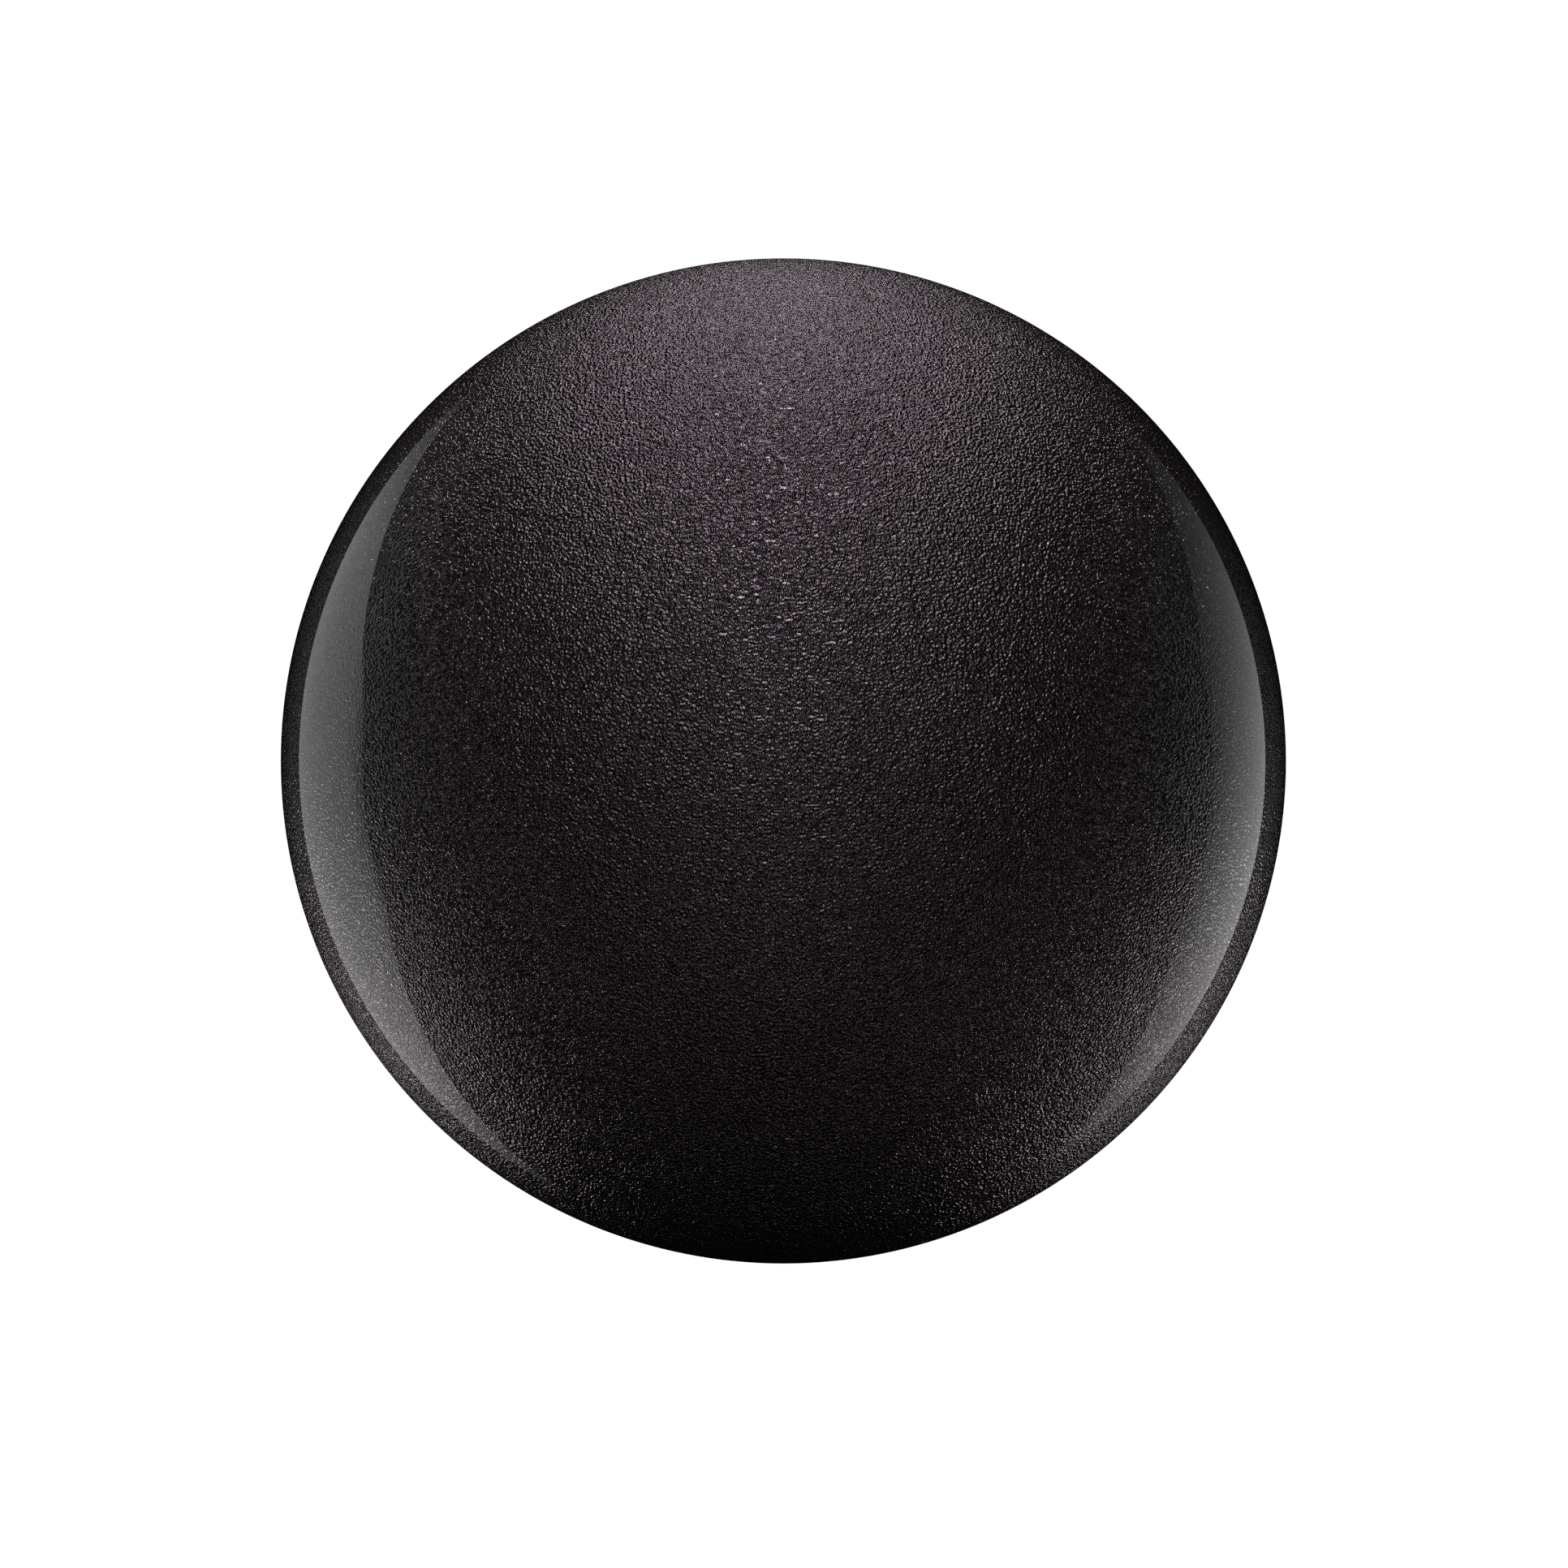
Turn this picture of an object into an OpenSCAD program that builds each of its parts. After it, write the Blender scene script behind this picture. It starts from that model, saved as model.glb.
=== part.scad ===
// Palm-press magnetic detacher for hard security tags.
// The domed grip carries a magnet pot. Pressed down by the palm, it slides on three sprung guide
// pins and lowers the magnets round a fixed tag cup in the underside; the springs lift it again,
// so that the magnets let the tag go. Z is up, the rubber foot stands on Z = 0, and the dome's
// crown is on the Z axis.

/* [Dome grip] */
// Outer diameter of the dome at its rim
dome_d = 80; // [79:0.5:88]
// Height of the crown above the straight skirt
dome_rise = 28; // [27.5:0.5:34]
// Wall thickness of the dome shell
dome_wall = 2.4; // [1.8:0.1:2.4]
// Depth of the straight skirt below the dome's curve
skirt_h = 9; // [7:0.5:10]
// Rounding of the skirt's lower edge
skirt_edge_r = 0.8; // [0.4:0.1:1]
// Height of the stiffening web under the crown
web_h = 2.2; // [1:0.1:2.6]
// Radius of the circle that carries the dome's screws
screw_circle_r = 29.5; // [29.3:0.1:29.7]

/* [Press action] */
// Travel of the dome from rest to its stop
stroke = 6; // [4:0.5:6]
// Radius of the circle that carries the guide pins
pin_circle_r = 28; // [27.8:0.1:28.2]
// Diameter of the guide pins
pin_d = 4; // [3:0.5:4]
// Mean diameter of the return springs
spring_d = 7; // [6.9:0.1:7.2]
// Wire diameter of the return springs
spring_wire = 0.7; // [0.5:0.05:0.75]
// Open turns of each return spring
spring_turns = 3.7; // [3:0.1:4.5]

/* [Base] */
// Thickness of the base floor
floor_t = 3; // [2.8:0.1:3.4]
// How far the rubber foot stands out of the base
foot_proud = 0.8; // [0.5:0.1:1]
// Radial gap between the dome's skirt and the base wall
skirt_gap = 0.4; // [0.3:0.05:0.5]
// Thickness of the base wall
base_wall = 2.2; // [1.8:0.1:2.4]

/* [Tag cup] */
// Inner diameter of the cup that takes a tag's nose
cup_d = 19.6; // [18:0.2:19.8]
// Depth of the cup's straight bore above the underside
cup_bore_h = 7.7; // [6:0.1:8]
// Sheet thickness of the cup
cup_t = 0.8; // [0.6:0.1:1]

/* [Magnet pot] */
// Outer diameter of the steel yoke
yoke_d = 46; // [45:0.5:46]
// Wall thickness of the yoke
yoke_wall = 3.8; // [3.6:0.1:4]
// Thickness of the yoke's closed end
yoke_top_t = 4.5; // [4:0.1:4.5]
// Height of the ring of radial magnets
magnet_h = 17; // [15:0.5:17]
// Number of radial magnets in the ring
magnet_count = 8; // [8:1:8]

/* [Hidden] */
$fn = 96;
COUNT = 3;                  // guide pins, springs, bushes, and screws of each kind round the axis
SECTOR = 360 / COUNT;

// Colours
GRIP_BLACK = [0.10, 0.09, 0.095];
BASE_BLACK = [0.08, 0.08, 0.08];
CARRIER_GREY = [0.22, 0.23, 0.24];
RUBBER_GREY = [0.14, 0.14, 0.14];
STAINLESS = [0.78, 0.78, 0.76];
ZINC_STEEL = [0.66, 0.67, 0.68];
SPRING_STEEL = [0.55, 0.56, 0.58];
NICKEL = [0.80, 0.78, 0.73];
BRONZE = [0.66, 0.48, 0.28];
ALUMINIUM = [0.82, 0.83, 0.84];

// Clearances
fit_gap = 0.02;             // round a fixed screw
seat_gap = 0.1;             // between a stop and what meets it
bush_clearance = 0.05;      // radial, bush to guide pin
glue_gap = 0.2;             // between magnets, and between magnets and yoke

// Heights of the base
base_z = foot_proud;
floor_z = base_z + floor_t;
flange_t = 1.6;
flange_gap = 0.6;           // left over the flange when the dome is pressed home
groove_depth = 1.2;         // of the foot ring's groove

// Dome
dome_r = dome_d / 2;
skirt_z = base_z + flange_t + flange_gap + stroke;
rim_z = skirt_z + skirt_h;
crown_z = rim_z + dome_rise;
dome_steps = 48;

// Base wall and flange
wall_r = dome_r - dome_wall - skirt_gap;
wall_in_r = wall_r - base_wall;
flange_r = dome_r - 1.6;
wall_top_z = dome_height(wall_r, dome_wall) - stroke - 0.7;

// Foot ring
foot_in_r = pin_circle_r - 4.4;
foot_out_r = pin_circle_r + 5.2;
foot_gap = 0.1;

// Posts under the guide pins
post_r = 3;
post_top_z = floor_z + 4.2;
seat_r = 4.6;
seat_z = floor_z + 1;
pin_z = base_z + groove_depth + 0.8;
access_r = 3.4;

// Rubber stop under the magnet pot
bump_r = 18.5;
bump_w = 3.8;
bump_sunk = 0.6;
bump_proud = 0.7;

// Tag cup
cup_r = cup_d / 2;
cup_lip_r = 1.2;
cup_flange_r = 16.6;
cup_screw_r = 13.8;
cup_tip_r = cup_r - 5.4;
cup_cone_z = base_z + cup_bore_h;
cup_tip_z = cup_cone_z + cup_r - cup_tip_r;

// Magnet pot
yoke_r = yoke_d / 2;
yoke_in_r = yoke_r - yoke_wall;
core_r = 11;
retainer_t = 1.4;
retainer_z = floor_z + bump_proud + seat_gap + stroke;
magnet_z = retainer_z + retainer_t;
magnet_top_z = magnet_z + magnet_h;
pot_top_z = magnet_top_z + yoke_top_t;
pole_z = magnet_z + 4;
back_magnet_h = 5;
back_magnet_z = magnet_top_z - back_magnet_h;
retainer_screw_r = yoke_r - 2.1;
recess_lift = stroke + 0.4;

// Carrier
tube_wall = 1.6;
tube_r = yoke_r + seat_gap + tube_wall;
carrier_top_t = 2.5;
carrier_top_z = pot_top_z + carrier_top_t;
ear_z = magnet_z + 6;
ear_h = 6;
ear_top_z = ear_z + ear_h;
plate_t = 2;
plate_r = pin_circle_r + 5.4;

// Guide bushes, pins and clips
bush_r = 3.2;
bush_flange_r = 4.4;
bush_flange_t = 1;
bush_proud = 0.2;
bush_top_z = ear_top_z + bush_proud;
clip_t = 0.7;
clip_z = bush_top_z + seat_gap;
clip_r = 3.4;
clip_neck_r = pin_d / 2 - 0.4;
pin_top_z = clip_z + clip_t + 1.4;

// Return springs
spring_z = seat_z + 0.02;
spring_end_z = ear_z - bush_flange_t - 0.02;
spring_closed_turns = 0.9;
spring_sides = 8;
spring_steps = 20;          // rings in one turn

// Dome screws
dome_screw_len = 14;
dome_screw_head_r = 2.8;
dome_screw_head_h = 1.9;
boss_r = 3.8;

// Inner or outer height of the dome at radius r, for a surface that lies inset mm inside the outer one
function dome_height(r, inset) =
    rim_z + (dome_rise - inset) * sqrt(max(0, 1 - pow(r / (dome_r - inset), 2)));

// Points of the dome's curve from the rim to the crown, inset from the outer surface
function dome_curve(inset, steps = dome_steps) = [
    for (i = [0:steps])
        let (a = 90 * i / steps)
        [(dome_r - inset) * cos(a), rim_z + (dome_rise - inset) * sin(a)]
];

// Points of an arc about a centre, from angle a0 to a1
function arc(centre, r, a0, a1, steps = 6) = [
    for (i = [0:steps])
        let (a = a0 + (a1 - a0) * i / steps)
        centre + r * [cos(a), sin(a)]
];

function reversed(list) = [for (i = [len(list) - 1:-1:0]) list[i]];

// Puts its children at each station of the pin circle, turned by offset degrees
module round_stations(radius, offset = 0) {
    for (i = [0:COUNT - 1])
        rotate(offset + i * SECTOR) translate([radius, 0, 0]) children();
}

// Puts its children at one station
module station(i, radius, offset = 0) {
    rotate(offset + (i - 1) * SECTOR) translate([radius, 0, 0]) children();
}

// Flat ring between two radii
module ring(outer_r, inner_r, z, h) {
    translate([0, 0, z]) difference() {
        cylinder(r = outer_r, h = h);
        translate([0, 0, -1]) cylinder(r = inner_r, h = h + 2);
    }
}

// Ring with all four corners rounded
module rounded_ring(outer_r, inner_r, z, h, round_r) {
    rotate_extrude()
        polygon(concat(
            arc([inner_r + round_r, z + round_r], round_r, 180, 270),
            arc([outer_r - round_r, z + round_r], round_r, 270, 360),
            arc([outer_r - round_r, z + h - round_r], round_r, 0, 90),
            arc([inner_r + round_r, z + h - round_r], round_r, 90, 180)));
}

// Countersunk screw standing on its head at z = 0, shank upwards; grow widens it to cut its hole
module countersunk_screw(shank_r, head_r, len, grow = 0) {
    head_h = head_r - shank_r;
    rotate_extrude(convexity = 2)
        polygon([
            [0, -grow], [head_r + grow, -grow], [head_r + grow, 0.15],
            [shank_r + grow, 0.15 + head_h], [shank_r + grow, len - shank_r * 0.4],
            [shank_r * 0.6 + grow, len + grow], [0, len + grow]]);
}

// Cross recess for a screwdriver, cut into a head from below
module cross_recess(arm, depth) {
    for (a = [0, 90])
        rotate(a) translate([-arm, -arm * 0.22, -0.5]) cube([arm * 2, arm * 0.44, depth + 0.5]);
}

// ---------------------------------------------------------------- fixed base

// Wall, floor and flange of the base, before its holes
module base_shell() {
    rotate_extrude()
        polygon(concat(
            [[0, base_z]],
            arc([flange_r - 0.6, base_z + 0.6], 0.6, 270, 360),
            arc([flange_r - 0.4, base_z + flange_t - 0.4], 0.4, 0, 90),
            reversed(arc([wall_r + 0.5, base_z + flange_t + 0.5], 0.5, 180, 270)),
            arc([wall_r - 0.5, wall_top_z - 0.5], 0.5, 0, 90),
            arc([wall_in_r + 0.5, wall_top_z - 0.5], 0.5, 90, 180),
            reversed(arc([wall_in_r - 1, floor_z + 1], 1, 270, 360)),
            [[0, floor_z]]));
}

// Spring seat with a hollow post that grips a guide pin
module pin_post() {
    translate([0, 0, floor_z - 0.5]) cylinder(r = seat_r, h = seat_z - floor_z + 0.5);
    translate([0, 0, seat_z - 0.5]) cylinder(r = post_r, h = post_top_z - seat_z + 0.5);
}

// Thin gussets between the floor and the wall
module wall_gussets() {
    gusset_w = 1.4;
    for (i = [0:11])
        rotate(15 + i * 30)
            translate([0, gusset_w / 2, 0]) rotate([90, 0, 0]) linear_extrude(gusset_w)
                polygon([[wall_in_r - 2.4, floor_z - 0.3], [wall_in_r + 0.4, floor_z - 0.3],
                         [wall_in_r + 0.4, wall_top_z - 2.5], [wall_in_r - 0.3, wall_top_z - 2.5]]);
}

// Radial ribs that tie the cup's rim to the spring seats
module floor_ribs() {
    rib_w = 1.4;
    for (i = [0:2 * COUNT - 1])
        rotate(i * SECTOR / 2) translate([bump_r + bump_w / 2 + 0.6, -rib_w / 2, floor_z - 0.3])
            cube([pin_circle_r - bump_r - bump_w / 2 - access_r - 1, rib_w, 0.7]);
}

module base_housing() color(BASE_BLACK) difference() {
    union() {
        base_shell();
        round_stations(pin_circle_r) pin_post();
        wall_gussets();
        floor_ribs();
    }
    // groove for the rubber foot
    ring(foot_out_r + foot_gap, foot_in_r - foot_gap, base_z - 1, groove_depth + 1);
    // seat and opening of the tag cup
    translate([0, 0, base_z - 1]) cylinder(r = cup_flange_r + foot_gap, h = cup_t + 1);
    translate([0, 0, base_z - 1]) cylinder(r = cup_r + cup_t + 0.1, h = floor_t + 2);
    translate([0, 0, base_z + cup_t - 0.01])
        cylinder(r1 = cup_r + cup_t + 0.7, r2 = cup_r + cup_t + 0.1, h = 0.6);
    // blind holes for the cup's screws
    round_stations(cup_screw_r, 30) translate([0, 0, base_z + 0.01])
        countersunk_screw(1, 1.9, 2.5, fit_gap);
    // groove for the rubber stop
    ring(bump_r + bump_w / 2 + 0.05, bump_r - bump_w / 2 - 0.05, floor_z - bump_sunk, 2);
    // blind sockets for the guide pins, and ways through to the dome screws
    round_stations(pin_circle_r) translate([0, 0, pin_z]) cylinder(d = pin_d, h = 20);
    round_stations(screw_circle_r, SECTOR / 2) translate([0, 0, base_z - 1])
        cylinder(r = access_r, h = floor_t + 3);
}

// Rubber ring with three tread lands
module foot_ring() color(RUBBER_GREY) {
    land_w = (foot_out_r - foot_in_r) / 3;
    tread = 0.45;
    difference() {
        rounded_ring(foot_out_r, foot_in_r, 0, base_z + groove_depth, 0.3);
        for (i = [1:2])
            rotate_extrude()
                translate([foot_in_r + i * land_w, 0])
                    polygon([[-0.7, -0.1], [0.7, -0.1], [0.3, tread], [-0.3, tread]]);
    }
}

// Deep-drawn cup that takes a tag's nose, with a screwed flange
module nest_cup() color(STAINLESS) difference() {
    cone_lift = cup_t * (sqrt(2) - 1);
    lip = [cup_r + cup_lip_r, base_z + cup_lip_r];
    rotate_extrude(convexity = 4)
        polygon(concat(
            [[cup_flange_r, base_z]],
            arc(lip, cup_lip_r, 270, 180),
            [[cup_r, cup_cone_z], [cup_tip_r, cup_tip_z], [0, cup_tip_z], [0, cup_tip_z + cup_t],
             [cup_tip_r + cone_lift, cup_tip_z + cup_t], [cup_r + cup_t, cup_cone_z + cone_lift]],
            arc(lip, cup_lip_r - cup_t, 180, 270),
            [[cup_flange_r, base_z + cup_t]]));
    round_stations(cup_screw_r, 30) translate([0, 0, base_z + 0.01])
        countersunk_screw(1, 1.9, 2.5, fit_gap);
}

module nest_screws() color(ZINC_STEEL) round_stations(cup_screw_r, 30)
    translate([0, 0, base_z + 0.03]) difference() {
        countersunk_screw(1, 1.9, 2.4);
        cross_recess(1.1, 0.6);
    }

// Rubber stop that takes the magnet pot at the end of the stroke
module bump_ring() color(RUBBER_GREY)
    rounded_ring(bump_r + bump_w / 2, bump_r - bump_w / 2, floor_z - bump_sunk,
                 bump_sunk + bump_proud, 0.3);

// Hardened dowel with a clip groove near its top
module guide_pin(i) color(ZINC_STEEL) station(i, pin_circle_r) rotate_extrude() {
    r = pin_d / 2;
    polygon([[0, pin_z], [r - 0.3, pin_z], [r, pin_z + 0.3], [r, clip_z],
             [clip_neck_r, clip_z], [clip_neck_r, clip_z + clip_t], [r, clip_z + clip_t],
             [r, pin_top_z - 0.5], [r - 0.5, pin_top_z], [0, pin_top_z]]);
}

// E-shaped clip in the pin's groove, with its open mouth towards the carrier's tube
module retaining_clip(i) color(SPRING_STEEL) station(i, pin_circle_r)
    translate([0, 0, clip_z]) rotate(180) linear_extrude(clip_t) difference() {
        circle(r = clip_r);
        circle(r = clip_neck_r + fit_gap);
        translate([0, -clip_neck_r - fit_gap]) square([clip_r + 1, 2 * (clip_neck_r + fit_gap)]);
        for (a = [125, 235])
            rotate(a) translate([clip_neck_r + 0.5, 0]) circle(r = 0.55, $fn = 24);
    }

// Centre line of a closed-end compression spring, t from 0 to 1
function spring_point(t) =
    let (
        turns = spring_turns + 2 * spring_closed_turns,
        closed = spring_closed_turns / turns,
        low = spring_z + spring_wire / 2,
        high = spring_end_z - spring_wire / 2,
        end_rise = spring_closed_turns * spring_wire * 1.04,
        open_t = (t - closed) / (1 - 2 * closed),
        z = t < closed ? low + end_rise * t / closed
          : t > 1 - closed ? high - end_rise * (1 - t) / closed
          : low + end_rise + (high - low - 2 * end_rise) * open_t)
    [spring_d / 2 * cos(360 * turns * t), spring_d / 2 * sin(360 * turns * t), z];

// Ring of points round the wire at one step of the centre line
function wire_ring(t, turns) = [
    for (k = [0:spring_sides - 1])
        let (
            p = spring_point(t),
            a = 360 * turns * t,
            b = 360 * k / spring_sides,
            out = spring_wire / 2 * cos(b))
        [p.x + out * cos(a), p.y + out * sin(a), p.z + spring_wire / 2 * sin(b)]
];

module return_spring(i) color(SPRING_STEEL) station(i, pin_circle_r) {
    turns = spring_turns + 2 * spring_closed_turns;
    steps = round(turns * spring_steps);
    points = [for (s = [0:steps]) each wire_ring(s / steps, turns)];
    sides = [
        for (s = [0:steps - 1], k = [0:spring_sides - 1])
            let (
                a = s * spring_sides + k,
                b = s * spring_sides + (k + 1) % spring_sides)
            [b, a, a + spring_sides, b + spring_sides]
    ];
    caps = [
        [for (k = [0:spring_sides - 1]) k],
        [for (k = [spring_sides - 1:-1:0]) steps * spring_sides + k]
    ];
    polyhedron(points, concat(sides, caps), convexity = 10);
}

// ---------------------------------------------------------------- moving grip

// Solid inside a surface that lies inset mm inside the dome's outer one, from z = from_z upwards
module dome_solid(inset, from_z) {
    rotate_extrude()
        polygon(concat(
            [[0, from_z], [dome_r - inset, from_z]],
            dome_curve(inset)));
}

// Screw boss with a gusset to the shell, cut off inside the wall
module dome_boss() {
    gusset_w = 1.4;
    cylinder(r = boss_r, h = crown_z);
    translate([0, -gusset_w / 2, 0.5]) cube([dome_r, gusset_w, crown_z]);
}

// Round web with six spokes under the crown
module crown_web() {
    web_w = 1.4;
    intersection() {
        union() {
            ring(12 + web_w / 2, 12 - web_w / 2, 0, crown_z);
            for (i = [0:5])
                rotate(i * 60) translate([3.5, -web_w / 2, 0]) cube([16, web_w, crown_z]);
            ring(3.5 + web_w, 3.5, 0, crown_z);
        }
        difference() {
            dome_solid(dome_wall * 0.6, ear_top_z);
            dome_solid(dome_wall + web_h, ear_top_z - 1);
        }
    }
}

module dome_cover() color(GRIP_BLACK) difference() {
    union() {
        rotate_extrude()
            polygon(concat(
                arc([dome_r - skirt_edge_r, skirt_z + skirt_edge_r], skirt_edge_r, 270, 360),
                dome_curve(0),
                reversed(dome_curve(dome_wall)),
                arc([dome_r - dome_wall + 0.4, skirt_z + 0.4], 0.4, 180, 270)));
        intersection() {
            round_stations(screw_circle_r, SECTOR / 2) translate([0, 0, ear_top_z]) dome_boss();
            dome_solid(dome_wall * 0.6, 0);
        }
        crown_web();
    }
    round_stations(screw_circle_r, SECTOR / 2) translate([0, 0, ear_top_z - 1])
        cylinder(r = 1.5 + fit_gap, h = dome_screw_len - ear_h + 1.8);
}

// Pan-head screws that pull the carrier against the dome's bosses
module dome_screws() color(ZINC_STEEL)
    round_stations(screw_circle_r, SECTOR / 2) difference() {
        union() {
            translate([0, 0, ear_z - dome_screw_head_h]) rotate_extrude()
                polygon([[0, 0], [dome_screw_head_r - 0.9, 0], [dome_screw_head_r - 0.25, 0.4],
                         [dome_screw_head_r, 1], [dome_screw_head_r, dome_screw_head_h],
                         [0, dome_screw_head_h]]);
            translate([0, 0, ear_z - 0.1]) cylinder(r = 1.5, h = dome_screw_len - 0.6);
            translate([0, 0, ear_z + dome_screw_len - 0.7]) cylinder(r1 = 1.5, r2 = 0.7, h = 0.7);
        }
        translate([0, 0, ear_z - dome_screw_head_h]) cross_recess(1.7, 1.2);
    }

// Round-ended ear that reaches inwards into the carrier's tube
module carrier_ear(r, reach) {
    translate([0, 0, ear_z]) cylinder(r = r, h = ear_h);
    translate([-reach, -r, ear_z]) cube([reach, 2 * r, ear_h]);
}

// Moulded carrier: a tube over the yoke, an eared plate that slides on the pins, and ribs
module magnet_carrier() color(CARRIER_GREY) difference() {
    rib_w = 1.6;
    tube_in_r = yoke_r + seat_gap;
    union() {
        rotate_extrude()
            polygon(concat(
                [[0, pot_top_z], [tube_in_r, pot_top_z], [tube_in_r, ear_z], [tube_r, ear_z]],
                arc([tube_r - 1, carrier_top_z - 1], 1, 0, 90),
                [[0, carrier_top_z]]));
        ring(plate_r, tube_in_r + 0.5, ear_top_z - plate_t, plate_t);
        round_stations(pin_circle_r) carrier_ear(4.8, pin_circle_r - tube_in_r - 0.6);
        round_stations(screw_circle_r, SECTOR / 2)
            carrier_ear(4.2, screw_circle_r - tube_in_r - 0.8);
        for (i = [0:11])
            rotate(15 + i * 30)
                translate([tube_in_r + 1, rib_w / 2, 0]) rotate([90, 0, 0]) linear_extrude(rib_w)
                    polygon([[0, ear_z], [1.4, ear_z], [plate_r - tube_in_r - 1.6, ear_top_z - 1],
                             [0, ear_top_z - 1]]);
        // stiffening fins between the plate and the tube's top
        for (i = [0:5])
            rotate(i * 60 + 30)
                translate([tube_in_r + 1, rib_w / 2, 0]) rotate([90, 0, 0]) linear_extrude(rib_w)
                    polygon([[0, ear_top_z - 1], [6.5, ear_top_z - 1], [6.5, ear_top_z + 1.5],
                             [tube_wall - 0.6, carrier_top_z - 3.5], [0, carrier_top_z - 3.5]]);
    }
    // lightening slots in the plate
    for (i = [0:5])
        rotate(i * 60 + 30) for (a = [-6.5, 6.5])
            rotate(a) translate([pin_circle_r + 1.6, 0, ear_top_z - plate_t - 1])
                cylinder(r = 1.3, h = plate_t + 2);
    round_stations(pin_circle_r) translate([0, 0, ear_z - 1]) cylinder(r = bush_r, h = ear_h + 2);
    round_stations(screw_circle_r, SECTOR / 2) translate([0, 0, ear_z - 1])
        cylinder(r = 1.6, h = ear_h + 2);
    translate([0, 0, carrier_top_z]) rotate([180, 0, 0]) countersunk_screw(2, 4, 6.1, fit_gap);
}

// Flanged bronze bush, pressed into an ear from below
module guide_bush(i) color(BRONZE) station(i, pin_circle_r) rotate_extrude() {
    bore_r = pin_d / 2 + bush_clearance;
    polygon([[bore_r + 0.3, ear_z - bush_flange_t], [bush_flange_r, ear_z - bush_flange_t],
             [bush_flange_r, ear_z], [bush_r, ear_z], [bush_r, bush_top_z - 0.2],
             [bush_r - 0.2, bush_top_z], [bore_r, bush_top_z], [bore_r, ear_z - bush_flange_t + 0.3]]);
}

// Soft-iron cup that closes the magnets' field round the back
module yoke_cup() color(ZINC_STEEL) difference() {
    rotate_extrude()
        polygon([[0, magnet_top_z], [yoke_in_r, magnet_top_z], [yoke_in_r, magnet_z],
                 [yoke_r - 0.4, magnet_z], [yoke_r, magnet_z + 0.4], [yoke_r, pot_top_z - 0.8],
                 [yoke_r - 0.8, pot_top_z], [0, pot_top_z]]);
    translate([0, 0, carrier_top_z]) rotate([180, 0, 0]) countersunk_screw(2, 4, 6.1, fit_gap);
    for (i = [0:3])
        rotate(45 + i * 90) translate([retainer_screw_r, 0, retainer_z])
            countersunk_screw(1, 1.7, 6.1, fit_gap);
}

module yoke_screw() color(ZINC_STEEL) translate([0, 0, carrier_top_z]) rotate([180, 0, 0])
    difference() {
        countersunk_screw(2, 4, 6);
        cross_recess(2.2, 1.4);
    }

// Disc magnet, magnetised along the axis
module back_magnet() color(NICKEL) rotate_extrude()
    polygon([[0, back_magnet_z], [core_r - 0.4, back_magnet_z], [core_r, back_magnet_z + 0.4],
             [core_r, magnet_top_z - 0.4], [core_r - 0.4, magnet_top_z], [0, magnet_top_z]]);

// Iron pole whose hollow cone drops over the tag cup when the grip is pressed
module pole_piece() color(ZINC_STEEL) difference() {
    // the cup's outer cone runs down from its tip at 45 degrees
    tip_r = cup_tip_r + cup_t * (sqrt(2) - 1);
    tip_z = cup_tip_z + cup_t + recess_lift;
    rotate_extrude()
        polygon([[0, pole_z], [core_r - 0.3, pole_z], [core_r, pole_z + 0.3],
                 [core_r, back_magnet_z], [0, back_magnet_z]]);
    rotate_extrude()
        polygon([[0, pole_z - 1], [tip_r + tip_z - pole_z + 1, pole_z - 1], [tip_r, tip_z],
                 [0, tip_z]]);
}

// Wedge of the ring of magnets, magnetised towards the axis
module radial_magnet(i) color(NICKEL) {
    step = 360 / magnet_count;
    rotate((i - 1) * step) translate([0, 0, magnet_z]) linear_extrude(magnet_h)
        intersection() {
            difference() {
                circle(r = yoke_in_r - glue_gap);
                circle(r = core_r + glue_gap);
            }
            polygon([[0, glue_gap], [yoke_r * 2, glue_gap],
                     [yoke_r * 2 * cos(step), yoke_r * 2 * sin(step)]]);
        }
}

// Aluminium ring that keeps the magnets in the yoke
module magnet_retainer() color(ALUMINIUM) difference() {
    rounded_ring(yoke_r - 0.1, core_r + glue_gap + 0.3, retainer_z, retainer_t, 0.25);
    for (i = [0:3])
        rotate(45 + i * 90) translate([retainer_screw_r, 0, retainer_z])
            countersunk_screw(1, 1.7, 6.1, fit_gap);
}

module retainer_screws() color(ZINC_STEEL)
    for (i = [0:3])
        rotate(45 + i * 90) translate([retainer_screw_r, 0, retainer_z]) difference() {
            countersunk_screw(1, 1.7, 6);
            cross_recess(1, 0.6);
        }

// ---------------------------------------------------------------- nodes

base_housing();
foot_ring();
nest_cup();
nest_screws();
bump_ring();
for (i = [1:COUNT]) {
    guide_pin(i);
    retaining_clip(i);
    return_spring(i);
    guide_bush(i);
}
dome_cover();
dome_screws();
magnet_carrier();
yoke_cup();
yoke_screw();
back_magnet();
pole_piece();
for (i = [1:magnet_count])
    radial_magnet(i);
magnet_retainer();
retainer_screws();
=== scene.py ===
"""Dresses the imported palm-press tag detacher: its pieces, finishes, floor, lights and camera."""

import math

import bpy
from mathutils import Matrix, Vector


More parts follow.
